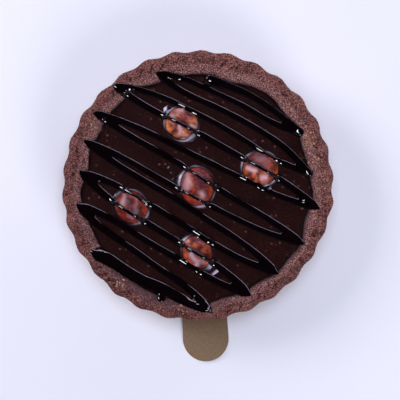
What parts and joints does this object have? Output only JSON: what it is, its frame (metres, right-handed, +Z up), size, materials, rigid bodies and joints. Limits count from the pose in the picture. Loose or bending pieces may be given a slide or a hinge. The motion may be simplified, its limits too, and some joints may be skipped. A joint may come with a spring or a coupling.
{
  "type": "chocolate tart",
  "caption": "Round fluted chocolate tart filled with dark ganache, set with glazed hazelnuts and striped with drizzle, on a gold card with a pull tab.",
  "frame": {"origin": "centre of the flat underside of the card that the tart stands on", "axes": "+Z up out of the filling, the card's pull tab points towards -Y, three degrees towards +X"},
  "size_m": [0.1, 0.1167, 0.0246],
  "materials": {
    "cocoa_crust": "matt crumbly cocoa shortcrust, baked",
    "dark_ganache": "glossy set dark ganache with fine specks",
    "glazed_hazelnut": "roasted skin under clear glaze",
    "chocolate_drizzle": "mirror-glossy black-brown chocolate",
    "clear_glaze": "clear wet glaze",
    "gold_card": "satin gold foil on card"
  },
  "bodies": {
    "root": {"crust": "cocoa_crust", "filling": "dark_ganache", "nut_1": "glazed_hazelnut", "nut_2": "glazed_hazelnut", "nut_3": "glazed_hazelnut", "nut_4": "glazed_hazelnut", "nut_5": "glazed_hazelnut", "pull_tab_card": "gold_card"}
  },
  "joints": []
}
